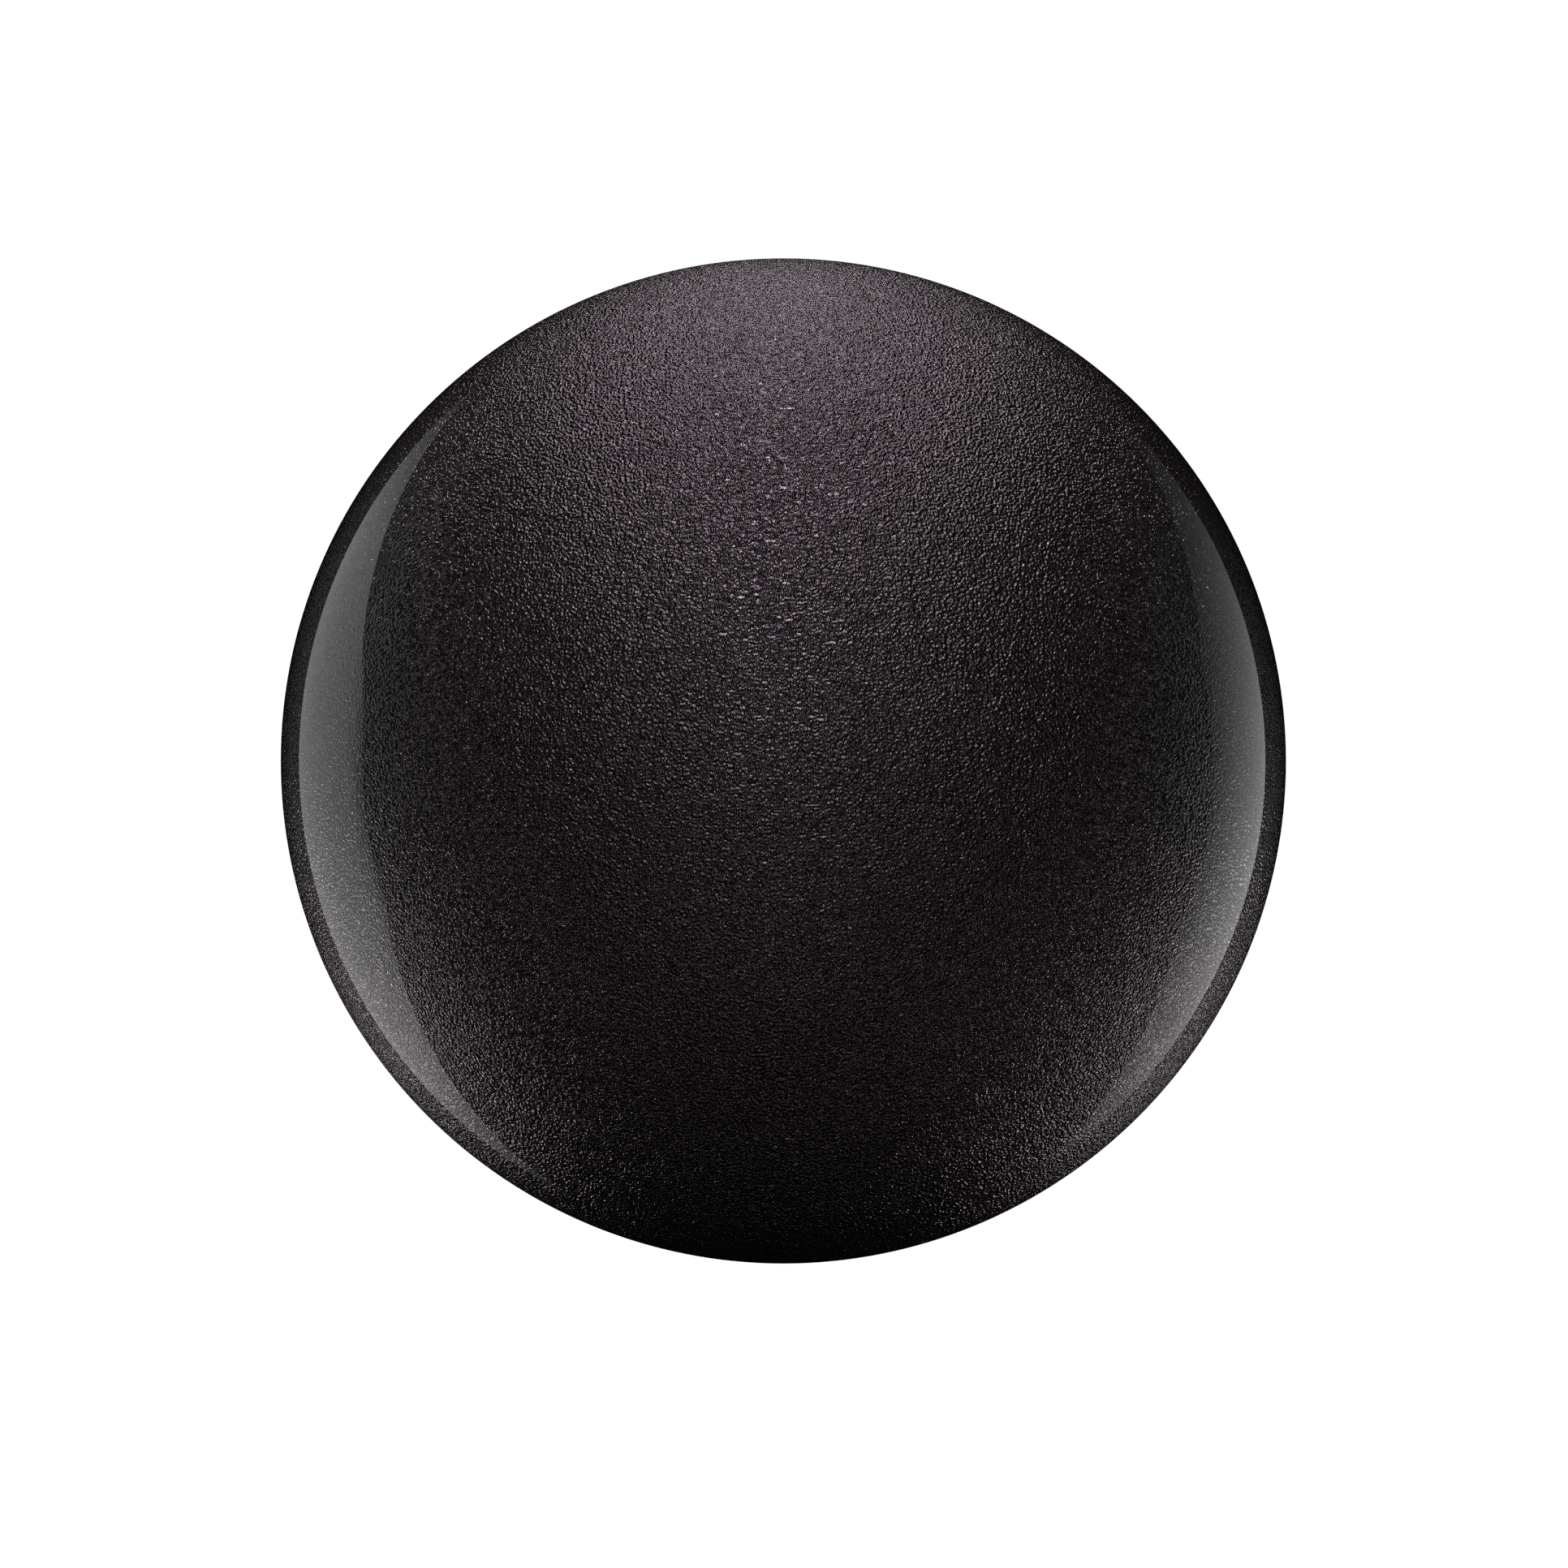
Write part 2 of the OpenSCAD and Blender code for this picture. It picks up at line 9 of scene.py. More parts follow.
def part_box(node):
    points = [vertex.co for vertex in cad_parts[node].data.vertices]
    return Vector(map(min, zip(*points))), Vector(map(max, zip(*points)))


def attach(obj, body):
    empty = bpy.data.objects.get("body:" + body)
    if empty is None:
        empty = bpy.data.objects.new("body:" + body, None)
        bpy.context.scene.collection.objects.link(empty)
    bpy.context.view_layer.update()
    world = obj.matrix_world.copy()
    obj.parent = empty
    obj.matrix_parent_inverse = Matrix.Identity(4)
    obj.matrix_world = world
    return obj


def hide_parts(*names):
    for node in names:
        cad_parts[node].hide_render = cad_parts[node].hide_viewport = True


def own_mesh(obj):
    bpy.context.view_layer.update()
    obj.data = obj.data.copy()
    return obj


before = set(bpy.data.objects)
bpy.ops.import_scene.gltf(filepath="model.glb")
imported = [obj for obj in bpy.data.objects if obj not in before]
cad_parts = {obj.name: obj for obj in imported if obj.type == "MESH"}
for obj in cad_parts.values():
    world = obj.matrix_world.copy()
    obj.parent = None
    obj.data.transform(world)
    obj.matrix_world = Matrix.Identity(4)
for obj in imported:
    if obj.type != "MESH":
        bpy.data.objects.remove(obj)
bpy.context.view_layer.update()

bl_info = {
    "name": "Palm-press tag detacher",
    "version": (1, 0, 0),
    "blender": (4, 5, 0),
    "location": "3D View > Sidebar > Detacher",
    "description": "Builds the dressed pieces of a palm-press tag detacher on its packed frame",
    "category": "Object",
}

MM = 0.001
COUNT = 3  # guide pins, springs and dome screws round the axis
DOME_STEPS = 256  # faces round the grip's shell
FRAME_STEPS = 128  # faces round the rings of the grip's web
ARC_POINTS = 96  # points from the rim to the crown on the shell's outer face
INNER_ARC_POINTS = 48  # the same on its inner face
WELD = 1e-6  # points nearer than this are merged
SUNK = 0.35  # share of the wall that the bosses and the web reach into
GUSSET_RISE = 0.5 * MM  # how far a gusset's foot stands above its boss's
CLOSED_PITCH = 1.04  # pitch of a spring's closed coils, in wire thicknesses
PORE_PITCH = 0.25 * MM  # distance between the pores of sintered bronze
BLOB_WIDTH = 0.7  # width of a noise texture's blobs at a scale of 1; they lie twice as far apart
RING_PITCH = 0.314  # distance between a wave texture's rings at a scale of 1
NOISE_LOW, NOISE_HIGH = 0.3, 0.7  # nearly all of a noise texture of detail 3 lies between these
DULL_SPECULAR = 0.3  # specular level of the plastics and the rubbers
LAMP_COLOUR = (1.0, 0.87, 0.945)
PALE_GLOW = 1.1  # how strongly the floor and the backdrop glow
GLINT_LIMIT = 4.5  # the most light that one sample of a glint may bring
CARD_STEPS = 32  # faces along a card's edge
CAMERA_ASIDE = 0.05 * MM  # how far the camera stands to the side of the dome's axis
DOME_LOW, DOME_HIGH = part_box("dome_cover")
DOME_RADIUS = DOME_HIGH.x
SPRING_LOW, SPRING_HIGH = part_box("return_spring_1")


# ---------------------------------------------------------------- settings


def length(name, description, default, low=0.0, high=1.0):
    """A size in metres that a user may change."""
    return bpy.props.FloatProperty(
        name=name, description=description, default=default, min=low, max=high,
        precision=5, step=0.01, unit="LENGTH",
    )


def colour(name, description, default):
    """A linear RGB colour that a user may change."""
    return bpy.props.FloatVectorProperty(
        name=name, description=description, default=default, size=3, min=0.0, max=1.0,
        subtype="COLOR",
    )


class DETACHER_PG_grip(bpy.types.PropertyGroup):
    """Sizes and finish of the domed grip."""

    radius: length("Radius", "Outer radius of the dome and its skirt", DOME_RADIUS)
    crown: length("Crown height", "Height of the crown above the ground", DOME_HIGH.z)
    rim: length("Rim height", "Height at which the curve meets the straight skirt", 18 * MM)
    skirt: length("Skirt height", "Height of the skirt's lower edge", DOME_LOW.z)
    wall: length("Wall", "Thickness of the shell", 2.4 * MM)
    edge: length("Edge rounding", "Radius along the skirt's lower edge", 0.8 * MM)
    tint: colour("Plastic", "Colour of the moulded plastic", (0.0016, 0.0014, 0.0016))
    cast: colour("Grain cast", "Colour that the grain gives to its glints", (1.0, 0.93, 0.975))
    grain_width: length("Grain width", "Width of one bump of the moulded grain", 0.15 * MM)
    grain_depth: length("Grain depth", "Height of the moulded grain", 0.165 * MM)


class DETACHER_PG_frame(bpy.types.PropertyGroup):
    """Sizes of the screw bosses and the stiffening web inside the grip."""

    circle: length("Screw circle", "Radius of the circle that the bosses stand on", 29.5 * MM)
    low: length("Boss foot", "Height of the bosses' lower face", 24 * MM)
    boss: length("Boss radius", "Radius of a boss", 3.8 * MM)
    hub: length("Hub radius", "Inner radius of the web's middle ring", 3.5 * MM)
    ring: length("Ring radius", "Middle radius of the web's outer ring", 12 * MM)
    spoke: length("Spoke length", "Length of a spoke, from the hub outward", 16 * MM)
    thick: length("Web thickness", "Thickness of the spokes, rings and gussets", 1.4 * MM)
    deep: length("Web depth", "How far the web stands out under the crown", 2.2 * MM)
    spokes: bpy.props.IntProperty(
        name="Spokes", description="Spokes of the web", default=6, min=2, max=24)


class DETACHER_PG_springs(bpy.types.PropertyGroup):
    """Sizes of the return springs."""

    circle: length("Circle", "Radius of the circle that the springs stand on", 28 * MM)
    coil: length("Coil radius", "Mean radius of a coil", 3.5 * MM)
    wire: length("Wire", "Diameter of the wire", 0.7 * MM)
    open_turns: bpy.props.FloatProperty(
        name="Open turns", description="Turns between the closed ends", default=3.7, min=1.0, max=12.0)
    closed_turns: bpy.props.FloatProperty(
        name="Closed turns", description="Touching turns at each end", default=0.9, min=0.0, max=3.0)
    tint: colour("Wire colour", "Colour of the oiled wire", (0.42, 0.43, 0.45))


class DETACHER_PG_stage(bpy.types.PropertyGroup):
    """The floor and the camera."""

    floor: length("Floor size", "Side of the square floor", 3.0, 0.1, 20.0)
    tint: colour("Floor colour", "Colour of the pale floor", (0.95, 0.95, 0.95))
    lens: bpy.props.FloatProperty(
        name="Lens", description="Focal length of the camera in millimetres", default=135.0,
        min=20.0, max=400.0)
    height: length("Camera height", "Height of the camera above the ground", 486.7 * MM, 0.1, 5.0)
    offset: length("Camera offset", "How far the camera stands below the dome's centre in the picture",
                   1.83 * MM)


# ---------------------------------------------------------------- node trees


def add_node(tree, kind, inputs=(), **options):
    """Adds a node, sets its options, and sets or links its inputs, which a number or a name picks."""
    node = tree.nodes.new(kind)
    for option, value in options.items():
        setattr(node, option, value)
    for key, value in dict(inputs).items():
        if isinstance(value, bpy.types.NodeSocket):
            tree.links.new(value, node.inputs[key])
        else:
            node.inputs[key].default_value = value
    return node


def sums(tree, operation, first, second=None, third=None):
    """The result of one Math node."""
    given = {i: v for i, v in enumerate((first, second, third)) if v is not None}
    return add_node(tree, "ShaderNodeMath", given, operation=operation).outputs[0]


def xyz(tree, x=0.0, y=0.0, z=0.0):
    """A vector from three numbers."""
    return add_node(tree, "ShaderNodeCombineXYZ", {0: x, 1: y, 2: z}).outputs[0]


SOCKETS = {
    "geometry": "NodeSocketGeometry", "float": "NodeSocketFloat", "int": "NodeSocketInt",
    "material": "NodeSocketMaterial",
}


def new_geometry_tree(name, **inputs):
    """A geometry node tree with named inputs, given as name=kind, with underscores for spaces.
    Returns the tree, its inputs by name, and its output node."""
    tree = bpy.data.node_groups.new(name, "GeometryNodeTree")
    for label, kind in inputs.items():
        tree.interface.new_socket(
            name=label.replace("_", " "), in_out="INPUT", socket_type=SOCKETS[kind])
    tree.interface.new_socket(name="Geometry", in_out="OUTPUT", socket_type="NodeSocketGeometry")
    outputs = tree.nodes.new("NodeGroupInput").outputs
    given = {label: outputs[label.replace("_", " ")] for label in inputs}
    return tree, given, tree.nodes.new("NodeGroupOutput")


def close_tree(tree, output, geometry, material):
    """Ends a tree in Realize Instances and Set Material."""
    real = add_node(tree, "GeometryNodeRealizeInstances", {0: geometry})
    done = add_node(tree, "GeometryNodeSetMaterial", {
        "Geometry": real.outputs[0], "Material": material})
    tree.links.new(done.outputs[0], output.inputs[0])


def join(tree, *geometries):
    """Several geometries as one."""
    node = tree.nodes.new("GeometryNodeJoinGeometry")
    for geometry in reversed(geometries):
        tree.links.new(geometry, node.inputs[0])
    return node.outputs[0]


def grow(name, tree, **values):
    """Runs a tree on an empty mesh and returns its result as a plain mesh object at the origin."""
    seed = bpy.data.objects.new(name, bpy.data.meshes.new(name))
    bpy.context.scene.collection.objects.link(seed)
    modifier = seed.modifiers.new("build", "NODES")
    modifier.node_group = tree
    for item in tree.interface.items_tree:
        if item.in_out == "INPUT" and item.name.replace(" ", "_") in values:
            modifier[item.identifier] = values[item.name.replace(" ", "_")]
    graph = bpy.context.evaluated_depsgraph_get()
    mesh = bpy.data.meshes.new_from_object(seed.evaluated_get(graph), depsgraph=graph)
    seed.modifiers.clear()
    seed.data = mesh
    mesh.name = name
    if not mesh.polygons:
        raise RuntimeError(f"{name} came out empty")
    return seed


def finish_piece(piece, body, material_slot, *nodes):
    """Puts a piece on the body it rides on, and hides the CAD nodes it stands for, if any.
    material_slot is not used.
    """
    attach(piece, body)
    if nodes:
        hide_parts(*nodes)


def revolve_tree():
    """A tree that turns a profile curve, drawn in X and Z, round the Z axis."""
    tree, given, output = new_geometry_tree("Revolve", Profile="geometry", Steps="int")
    count = add_node(tree, "GeometryNodeAttributeDomainSize", {0: given["Profile"]},
                     component="CURVE").outputs["Point Count"]
    grid = add_node(tree, "GeometryNodeMeshGrid", {
        "Size X": 1.0, "Size Y": 1.0,
        "Vertices X": sums(tree, "ADD", given["Steps"], 1.0), "Vertices Y": count})
    index = tree.nodes.new("GeometryNodeInputIndex").outputs[0]
    step = sums(tree, "FLOOR", sums(tree, "DIVIDE", index, count))
    along = sums(tree, "SUBTRACT", index, sums(tree, "MULTIPLY", step, count))
    point = add_node(tree, "GeometryNodeSampleIndex", {
        "Geometry": given["Profile"], "Value": tree.nodes.new("GeometryNodeInputPosition").outputs[0],
        "Index": along}, data_type="FLOAT_VECTOR")
    angle = sums(tree, "MULTIPLY", sums(tree, "DIVIDE", step, given["Steps"]), math.tau)
    turned = add_node(tree, "ShaderNodeVectorRotate", {"Vector": point.outputs[0], "Angle": angle},
                      rotation_type="Z_AXIS")
    placed = add_node(tree, "GeometryNodeSetPosition", {
        "Geometry": grid.outputs[0], "Position": turned.outputs[0]})
    tree.links.new(placed.outputs[0], output.inputs[0])
    return tree


def revolved(tree, revolve, profile, steps, flip=False):
    """Adds the Revolve tree to another one, and turns its faces over if asked."""
    node = add_node(tree, "GeometryNodeGroup", node_tree=revolve)
    tree.links.new(profile, node.inputs["Profile"])
    tree.links.new(steps, node.inputs["Steps"])
    if not flip:
        return node.outputs[0]
    return add_node(tree, "GeometryNodeFlipFaces", {"Mesh": node.outputs[0]}).outputs[0]


def quarter_ellipse(tree, radius, rise, base, points):
    """A quarter of an ellipse in X and Z, from its widest point up to the axis."""
    arc = add_node(tree, "GeometryNodeCurveArc", {
        "Resolution": points, "Radius": 1.0, "Start Angle": 0.0, "Sweep Angle": math.pi / 2})
    return add_node(tree, "GeometryNodeTransform", {
        "Geometry": arc.outputs[0], "Rotation": (math.pi / 2, 0.0, 0.0),
        "Scale": xyz(tree, radius, rise, 1.0), "Translation": xyz(tree, z=base)}).outputs[0]


def dome_tree(revolve):
    """A tree for the dome shell: outer curve, skirt with a rounded edge, and inner curve."""
    tree, given, output = new_geometry_tree(
        "Dome shell", Radius="float", Crown="float", Rim="float", Skirt="float", Wall="float",
        Edge="float", Steps="int", Material="material")
    inner_radius = sums(tree, "SUBTRACT", given["Radius"], given["Wall"])
    rise = sums(tree, "SUBTRACT", given["Crown"], given["Rim"])
    inner_rise = sums(tree, "SUBTRACT", rise, given["Wall"])
    skirt = add_node(tree, "GeometryNodeCurvePrimitiveQuadrilateral", {
        "Point 1": xyz(tree, given["Radius"], 0.0, given["Rim"]),
        "Point 2": xyz(tree, given["Radius"], 0.0, given["Skirt"]),
        "Point 3": xyz(tree, inner_radius, 0.0, given["Skirt"]),
        "Point 4": xyz(tree, inner_radius, 0.0, given["Rim"])}, mode="POINTS")
    index = tree.nodes.new("GeometryNodeInputIndex").outputs[0]
    lower = sums(tree, "COMPARE", index, 1.5, 0.9)  # points 1 and 2, the skirt's lower corners
    rounded = add_node(tree, "GeometryNodeFilletCurve", {
        "Curve": skirt.outputs[0], "Count": 8,
        "Radius": sums(tree, "MULTIPLY", lower, given["Edge"])}, mode="POLY")
    outer = quarter_ellipse(tree, given["Radius"], rise, given["Rim"], ARC_POINTS)
    inner = quarter_ellipse(tree, inner_radius, inner_rise, given["Rim"], INNER_ARC_POINTS)
    shell = join(
        tree,
        revolved(tree, revolve, outer, given["Steps"]),
        revolved(tree, revolve, rounded.outputs[0], given["Steps"], flip=True),
        revolved(tree, revolve, inner, given["Steps"], flip=True),
    )
    merged = add_node(tree, "GeometryNodeMergeByDistance", {"Geometry": shell, "Distance": WELD})
    smooth = add_node(tree, "GeometryNodeSetShadeSmooth", {"Geometry": merged.outputs[0]})
    close_tree(tree, output, smooth.outputs[0], given["Material"])
    return tree


def turned_copies(tree, geometry, count, first):
    """Copies turned evenly round the Z axis, the first one by a share of the step."""
    points = add_node(tree, "GeometryNodePoints", {"Count": count, "Radius": 0.0})
    index = tree.nodes.new("GeometryNodeInputIndex").outputs[0]
    step = sums(tree, "MULTIPLY", sums(tree, "ADD", index, first), math.tau)
    turn = sums(tree, "DIVIDE", step, count)
    return add_node(tree, "GeometryNodeInstanceOnPoints", {
        "Points": points.outputs[0], "Instance": geometry, "Rotation": xyz(tree, z=turn)}).outputs[0]


def frame_tree(revolve):
    """A tree for the screw bosses with their gussets, and the web under the crown. Their upper ends
    follow the shell's inner face and end inside the wall."""
    tree, given, output = new_geometry_tree(
        "Grip frame", Radius="float", Crown="float", Rim="float", Wall="float", Circle="float",
        Low="float", Boss="float", Hub="float", Ring="float", Spoke="float", Thick="float",
        Deep="float", Spokes="int", Count="int", Steps="int", Material="material")
    wide = sums(tree, "SUBTRACT", given["Radius"], given["Wall"])
    tall = sums(tree, "SUBTRACT", sums(tree, "SUBTRACT", given["Crown"], given["Rim"]), given["Wall"])
    sunk = sums(tree, "MULTIPLY", given["Wall"], SUNK)
    depth = sums(tree, "ADD", given["Deep"], sunk)
    middle = sums(tree, "SUBTRACT", sunk, sums(tree, "MULTIPLY", depth, 0.5))
    half = sums(tree, "MULTIPLY", given["Thick"], 0.5)

    def other_leg(share):
        """The other leg of a right triangle whose long side is 1."""
        minus = sums(tree, "MULTIPLY", share, -1.0)
        return sums(tree, "SQRT", sums(tree, "MULTIPLY_ADD", minus, share, 1.0))

    def ceiling(radius):
        """The height of the shell's inner face at a distance from the axis."""
        share = sums(tree, "DIVIDE", radius, wide)
        return sums(tree, "MULTIPLY_ADD", tall, other_leg(share), given["Rim"])

    def draped(geometry, low=None):
        """Lifts a shape drawn about z=0 to the shell's inner face. With low, its lower points are
        at that height instead."""
        place = add_node(tree, "ShaderNodeSeparateXYZ", {
            0: tree.nodes.new("GeometryNodeInputPosition").outputs[0]}).outputs
        away = sums(tree, "SQRT", sums(tree, "MULTIPLY_ADD", place[0], place[0],
                                       sums(tree, "MULTIPLY", place[1], place[1])))
        height = sums(tree, "ADD", ceiling(away), place[2])
        if low is not None:
            upper = sums(tree, "GREATER_THAN", place[2], 0.0)
            height = sums(tree, "MULTIPLY_ADD", upper, sums(tree, "SUBTRACT", height, low), low)
        return add_node(tree, "GeometryNodeSetPosition", {
            "Geometry": geometry, "Position": xyz(tree, place[0], place[1], height)}).outputs[0]

    def bar(start, size, steps):
        """A bar along X, cut into steps so that it can bend."""
        cube = add_node(tree, "GeometryNodeMeshCube", {
            "Size": xyz(tree, size, given["Thick"], depth), "Vertices X": steps})
        centre = sums(tree, "MULTIPLY_ADD", size, 0.5, start)
        return add_node(tree, "GeometryNodeTransform", {
            "Geometry": cube.outputs[0], "Translation": xyz(tree, centre, 0.0, middle)}).outputs[0]

    def rib(inner, outer):
        """The faces of a ring under the crown, between two radii."""
        top = sums(tree, "ADD", ceiling(outer), sunk)
        foot = sums(tree, "SUBTRACT", ceiling(inner), given["Deep"])
        corners = [xyz(tree, outer, 0.0, foot), xyz(tree, outer, 0.0, top), xyz(tree, inner, 0.0, top),
                   xyz(tree, inner, 0.0, foot)]
        sides = add_node(tree, "GeometryNodeCurvePrimitiveQuadrilateral", {
            f"Point {i + 1}": corner for i, corner in enumerate(corners)}, mode="POINTS")
        under = add_node(tree, "GeometryNodeCurvePrimitiveLine", {
            "Start": corners[3], "End": corners[0]})
        return [revolved(tree, revolve, part.outputs[0], given["Steps"]) for part in (sides, under)]

    boss = add_node(tree, "GeometryNodeMeshCylinder", {
        "Vertices": 48, "Radius": given["Boss"], "Depth": depth}, fill_type="NGON")
    round_side = add_node(tree, "GeometryNodeSetShadeSmooth", {
        "Geometry": boss.outputs["Mesh"], "Selection": boss.outputs["Side"]})
    standing = add_node(tree, "GeometryNodeTransform", {
        "Geometry": round_side.outputs[0], "Translation": xyz(tree, given["Circle"], 0.0, middle)})
    foot = sums(tree, "ADD", given["Low"], GUSSET_RISE)
    share = sums(tree, "DIVIDE", sums(tree, "SUBTRACT", foot, given["Rim"]), tall)
    reach = sums(tree, "MULTIPLY", wide, other_leg(share))
    gusset = bar(given["Circle"], sums(tree, "SUBTRACT", reach, given["Circle"]), steps=12)
    post = join(tree, draped(standing.outputs[0], given["Low"]), draped(gusset, foot))
    bosses = turned_copies(tree, post, given["Count"], first=0.5)
    spoke = draped(bar(given["Hub"], given["Spoke"], steps=16))
    spokes = turned_copies(tree, spoke, given["Spokes"], first=0.0)
    ribs = (rib(given["Hub"], sums(tree, "ADD", given["Hub"], given["Thick"]))
            + rib(sums(tree, "SUBTRACT", given["Ring"], half), sums(tree, "ADD", given["Ring"], half)))
    rings = add_node(tree, "GeometryNodeMergeByDistance", {
        "Geometry": join(tree, *ribs), "Distance": WELD})
    close_tree(tree, output, join(tree, bosses, spokes, rings.outputs[0]), given["Material"])
    return tree


def spring_tree():
    """A tree for closed-end compression springs: one coil, repeated round the axis."""
    tree, given, output = new_geometry_tree(
        "Return springs", Circle="float", Coil="float", Wire="float", Low="float", High="float",
        Open_turns="float", Closed_turns="float", Count="int", Material="material")
    turns = sums(tree, "MULTIPLY_ADD", given["Closed_turns"], 2.0, given["Open_turns"])
    closed = sums(tree, "DIVIDE", given["Closed_turns"], turns)
    half_wire = sums(tree, "MULTIPLY", given["Wire"], 0.5)
    low = sums(tree, "ADD", given["Low"], half_wire)
    high = sums(tree, "SUBTRACT", given["High"], half_wire)
    closed_height = sums(tree, "MULTIPLY", given["Closed_turns"], given["Wire"])
    end_rise = sums(tree, "MULTIPLY", closed_height, CLOSED_PITCH)
    middle_rise = sums(tree, "SUBTRACT", sums(tree, "SUBTRACT", high, low),
                       sums(tree, "MULTIPLY", end_rise, 2.0))
    spiral = add_node(tree, "GeometryNodeCurveSpiral", {
        "Resolution": 40, "Rotations": turns, "Start Radius": given["Coil"],
        "End Radius": given["Coil"], "Height": 0.0})
    factor = tree.nodes.new("GeometryNodeSplineParameter").outputs["Factor"]
    top = sums(tree, "SUBTRACT", 1.0, closed)
    height = low
    for start, end, rise in ((0.0, closed, end_rise), (closed, top, middle_rise), (top, 1.0, end_rise)):
        ramp = add_node(tree, "ShaderNodeMapRange", {
            "Value": factor, "From Min": start, "From Max": end, "To Min": 0.0, "To Max": rise})
        height = sums(tree, "ADD", height, ramp.outputs[0])
    place = add_node(tree, "ShaderNodeSeparateXYZ", {
        0: tree.nodes.new("GeometryNodeInputPosition").outputs[0]})
    # the spiral node winds left-handed, and turning its Y over makes a right-hand spring
    turned_over = sums(tree, "MULTIPLY", place.outputs[1], -1.0)
    helix = add_node(tree, "GeometryNodeSetPosition", {
        "Geometry": spiral.outputs[0],
        "Position": xyz(tree, place.outputs[0], turned_over, height)})
    wire = add_node(tree, "GeometryNodeCurvePrimitiveCircle", {"Resolution": 14, "Radius": half_wire})
    coil = add_node(tree, "GeometryNodeCurveToMesh", {
        "Curve": helix.outputs[0], "Profile Curve": wire.outputs[0], "Fill Caps": True})
    smooth = add_node(tree, "GeometryNodeSetShadeSmooth", {"Geometry": coil.outputs[0]})
    stations = add_node(tree, "GeometryNodeMeshCircle", {
        "Vertices": given["Count"], "Radius": given["Circle"]})
    index = tree.nodes.new("GeometryNodeInputIndex").outputs[0]
    turn = sums(tree, "DIVIDE", sums(tree, "MULTIPLY", index, math.tau), given["Count"])
    springs = add_node(tree, "GeometryNodeInstanceOnPoints", {
        "Points": stations.outputs[0], "Instance": smooth.outputs[0], "Rotation": xyz(tree, z=turn)})
    close_tree(tree, output, springs.outputs[0], given["Material"])
    return tree


# ---------------------------------------------------------------- finishes


def new_material(name, tint, roughness, metallic=0.0, **sockets):
    """A Principled material with its constant values on the shader's own sockets.
    Returns the material, its tree, its shader and the object coordinates."""
    material = bpy.data.materials.new(name)
    material.use_nodes = True
    tree = material.node_tree
    shader = tree.nodes["Principled BSDF"]
    shader.inputs["Base Color"].default_value = (*tint, 1.0)
    shader.inputs["Roughness"].default_value = roughness
    shader.inputs["Metallic"].default_value = metallic
    for label, value in sockets.items():
        shader.inputs[label.replace("_", " ")].default_value = value
    place = tree.nodes.new("ShaderNodeTexCoord").outputs["Object"]
    return material, tree, shader, place


def noise(tree, place, width, detail=2.0, roughness=0.5):
    """Noise whose blobs are about width metres across."""
    return add_node(tree, "ShaderNodeTexNoise", {
        "Vector": place, "Scale": BLOB_WIDTH / width, "Detail": detail,
        "Roughness": roughness}).outputs["Fac"]


def bump(tree, height, depth):
    """A normal bent by a height pattern of the given depth in metres."""
    return add_node(tree, "ShaderNodeBump", {
        "Height": height, "Distance": depth, "Strength": 1.0}).outputs[0]


def vary(tree, pattern, low, high):
    """A number that goes from low to high with a pattern."""
    return add_node(tree, "ShaderNodeMapRange", {
        "Value": pattern, "From Min": NOISE_LOW, "From Max": NOISE_HIGH, "To Min": low,
        "To Max": high}).outputs[0]


def tinted(tree, pattern, tint, dark, light=1.0):
    """A colour that goes from dark to light with a pattern, both given as shares of a tint."""
    low, high = [(*[c * share for c in tint], 1.0) for share in (dark, light)]
    return add_node(tree, "ShaderNodeMix", {0: pattern, 6: low, 7: high}, data_type="RGBA").outputs[2]


def grained_plastic(name, tint, cast, width, depth, roughness=0.285):
    """Black plastic with a fine spark-eroded grain under a clear, smooth lacquer. Its colour carries
    painted shade in the grain's pits and a painted highlight on its peaks.
    """
    material, tree, shader, place = new_material(
        name, tint, roughness, Specular_IOR_Level=DULL_SPECULAR, Specular_Tint=(*cast, 1.0),
        Coat_Weight=1.0, Coat_Roughness=0.0, Coat_IOR=1.5)
    grain = noise(tree, place, width, detail=0.0)
    # painted shade and painted highlight: the colour is darker in the grain's pits and lighter on its
    # peaks, following the bump's own pattern
    tree.links.new(tinted(tree, grain, tint, dark=0.3, light=1.7), shader.inputs["Base Color"])
    tree.links.new(bump(tree, grain, depth), shader.inputs["Normal"])
    return material


def satin_plastic(name, tint, roughness):
    """Moulded plastic with a soft, even satin and a faint flow mottle."""
    material, tree, shader, place = new_material(
        name, tint, roughness, Specular_IOR_Level=DULL_SPECULAR)
    mottle = noise(tree, place, 3 * MM, detail=3.0)
    tree.links.new(tinted(tree, mottle, tint, dark=1.0, light=1.35), shader.inputs["Base Color"])
    tree.links.new(vary(tree, mottle, roughness - 0.05, roughness + 0.06), shader.inputs["Roughness"])
    tree.links.new(bump(tree, noise(tree, place, 0.35 * MM), 0.008 * MM), shader.inputs["Normal"])
    return material


def moulded_rubber(name, tint):
    """Dull rubber with a fine pebbled skin."""
    material, tree, shader, place = new_material(name, tint, 0.82, Specular_IOR_Level=DULL_SPECULAR)
    dust = noise(tree, place, 1.6 * MM, detail=4.0, roughness=0.6)
    tree.links.new(tinted(tree, dust, tint, dark=1.0, light=1.7), shader.inputs["Base Color"])
    tree.links.new(bump(tree, noise(tree, place, 0.3 * MM), 0.02 * MM), shader.inputs["Normal"])
    return material


